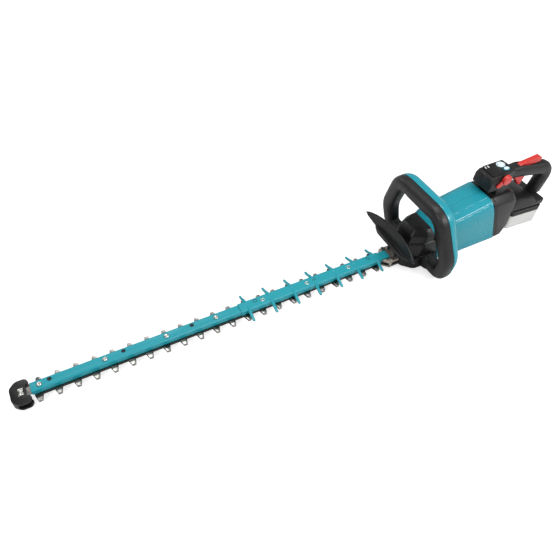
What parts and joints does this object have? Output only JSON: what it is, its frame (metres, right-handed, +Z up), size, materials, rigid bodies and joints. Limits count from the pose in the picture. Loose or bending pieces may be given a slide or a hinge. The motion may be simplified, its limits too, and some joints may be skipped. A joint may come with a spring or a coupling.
{
  "type": "cordless hedge trimmer",
  "caption": "Cordless hedge trimmer: long double-sided toothed blade, looped front handle, hand guard and a swivelling rear handle that carries a slide-on battery.",
  "frame": {"origin": "under the middle of the object's bounding box, on the surface it rests on", "axes": "+X from the blade's tip towards the rear handle, +Z up, +Y the operator's right when the blade points away"},
  "size_m": [1.2792, 0.2446, 0.1943],
  "materials": {
    "teal_nylon": "glossy teal glass-filled nylon",
    "teal_bar_coating": "satin teal coating",
    "black_nylon": "satin black nylon",
    "dark_grey_nylon": "satin dark grey nylon with a fine grain",
    "black_soft_grip": "soft black grip rubber",
    "red_nylon": "satin red nylon",
    "blade_steel": "ground and oiled steel",
    "plated_screw": "zinc plated steel",
    "cast_aluminium": "raw cast aluminium",
    "copper_winding": "enamelled copper",
    "battery_pale_grey": "pale grey nylon",
    "status_lens": "pale translucent plastic"
  },
  "bodies": {
    "body": {"guide_bar": "teal_bar_coating", "bar_screw_1": "plated_screw", "bar_screw_2": "plated_screw", "bar_screw_3": "plated_screw", "bar_screw_4": "plated_screw", "bar_screw_5": "plated_screw", "bar_screw_6": "plated_screw", "bar_screw_7": "plated_screw", "tip_guard": "black_nylon", "tip_screw_left": "plated_screw", "tip_screw_right": "plated_screw", "comb_guard": "teal_bar_coating", "blade_base": "cast_aluminium", "blade_support": "cast_aluminium", "base_bolt_left": "plated_screw", "base_bolt_right": "plated_screw", "stator": "copper_winding", "front_motor_bearing": "blade_steel", "rear_motor_bearing": "blade_steel", "front_motor_plate": "black_nylon", "rear_motor_plate": "black_nylon", "upper_crank_bearing": "blade_steel", "lower_crank_bearing": "blade_steel", "bearing_plate": "cast_aluminium", "gear_case": "black_nylon", "gear_cover": "black_nylon", "motor_housing_left": "teal_nylon", "motor_housing_right": "teal_nylon", "swivel_ring": "black_nylon", "front_handle_grip": "black_soft_grip", "front_handle_shell": "teal_nylon", "hand_guard": "black_nylon", "motor_controller": "black_nylon"},
    "upper_blade": {"upper_blade": "blade_steel"},
    "lower_blade": {"lower_blade": "blade_steel"},
    "crank": {"crank_shaft": "blade_steel", "crown_gear": "blade_steel"},
    "rotor": {"motor_shaft": "blade_steel", "rotor_core": "blade_steel", "cooling_fan": "black_nylon"},
    "front_switch": {"front_switch_lever": "black_nylon"},
    "rear_handle": {"rear_housing_left": "dark_grey_nylon", "rear_housing_right": "dark_grey_nylon", "control_panel": "black_nylon", "trigger_switch": "black_nylon", "battery_mount": "black_nylon", "terminal_block": "black_nylon"},
    "trigger": {"trigger": "red_nylon"},
    "lock_off": {"lock_off_lever": "red_nylon"},
    "handle_release": {"handle_release_lever": "red_nylon"},
    "power_button": {"power_button": "status_lens"},
    "reverse_button": {"reverse_button": "status_lens"},
    "battery": {"battery_upper_case": "battery_pale_grey", "battery_lower_case": "battery_pale_grey", "cell_pack": "blade_steel"},
    "battery_button": {"battery_button": "black_nylon"}
  },
  "joints": [
    {"name": "upper_blade_slide", "type": "slide", "parent": "body", "child": "upper_blade", "axis": [1, 0, 0], "range_m": [-0.0055, 0.0055]},
    {"name": "lower_blade_slide", "type": "slide", "parent": "body", "child": "lower_blade", "axis": [1, 0, 0], "range_m": [-0.0055, 0.0055]},
    {"name": "crank_spin", "type": "hinge", "parent": "body", "child": "crank", "pos_m": [0.24739, 0, 0.021], "axis": [0, 0, 1], "continuous": true},
    {"name": "rotor_spin", "type": "hinge", "parent": "body", "child": "rotor", "pos_m": [0.33739, 0, 0.067], "axis": [1, 0, 0], "continuous": true},
    {"name": "front_switch_press", "type": "slide", "parent": "body", "child": "front_switch", "axis": [-0.1495, 0, 0.9888], "range_m": [0, 0.003], "stiffness_N_per_m": 900, "springref_m": -0.002},
    {"name": "rear_handle_swivel", "type": "hinge", "parent": "body", "child": "rear_handle", "pos_m": [0.44546, 0, 0.0675], "axis": [0.9511, 0, 0.309], "range_deg": [-90, 90]},
    {"name": "trigger_pull", "type": "hinge", "parent": "rear_handle", "child": "trigger", "pos_m": [0.51739, 0, 0.147], "axis": [0, -1, 0], "range_deg": [0, 10], "stiffness_Nm_per_rad": 1.2, "springref_deg": -5.73},
    {"name": "lock_off_press", "type": "hinge", "parent": "rear_handle", "child": "lock_off", "pos_m": [0.52539, 0, 0.17], "axis": [0, 1, 0], "range_deg": [0, 6], "stiffness_Nm_per_rad": 1, "springref_deg": -5.73},
    {"name": "handle_release_turn", "type": "hinge", "parent": "rear_handle", "child": "handle_release", "pos_m": [0.45739, -0.0273, 0.174], "axis": [0, 1, 0], "range_deg": [0, 30], "stiffness_Nm_per_rad": 0.15, "springref_deg": -17.19},
    {"name": "power_button_press", "type": "slide", "parent": "rear_handle", "child": "power_button", "axis": [0, 0, -1], "range_m": [0, 0.0015], "stiffness_N_per_m": 600, "springref_m": -0.001},
    {"name": "reverse_button_press", "type": "slide", "parent": "rear_handle", "child": "reverse_button", "axis": [0, 0, -1], "range_m": [0, 0.0015], "stiffness_N_per_m": 600, "springref_m": -0.001},
    {"name": "battery_slide", "type": "slide", "parent": "rear_handle", "child": "battery", "axis": [0.9962, 0, -0.0872], "range_m": [0, 0.095]},
    {"name": "battery_button_press", "type": "slide", "parent": "battery", "child": "battery_button", "axis": [-0.0872, 0, -0.9962], "range_m": [0, 0.0035], "stiffness_N_per_m": 600, "springref_m": -0.001}
  ],
  "couplings": [
    {"joint": "lower_blade_slide", "follows": "upper_blade_slide", "ratio": -1},
    {"joint": "rotor_spin", "follows": "crank_spin", "ratio": 4}
  ]
}
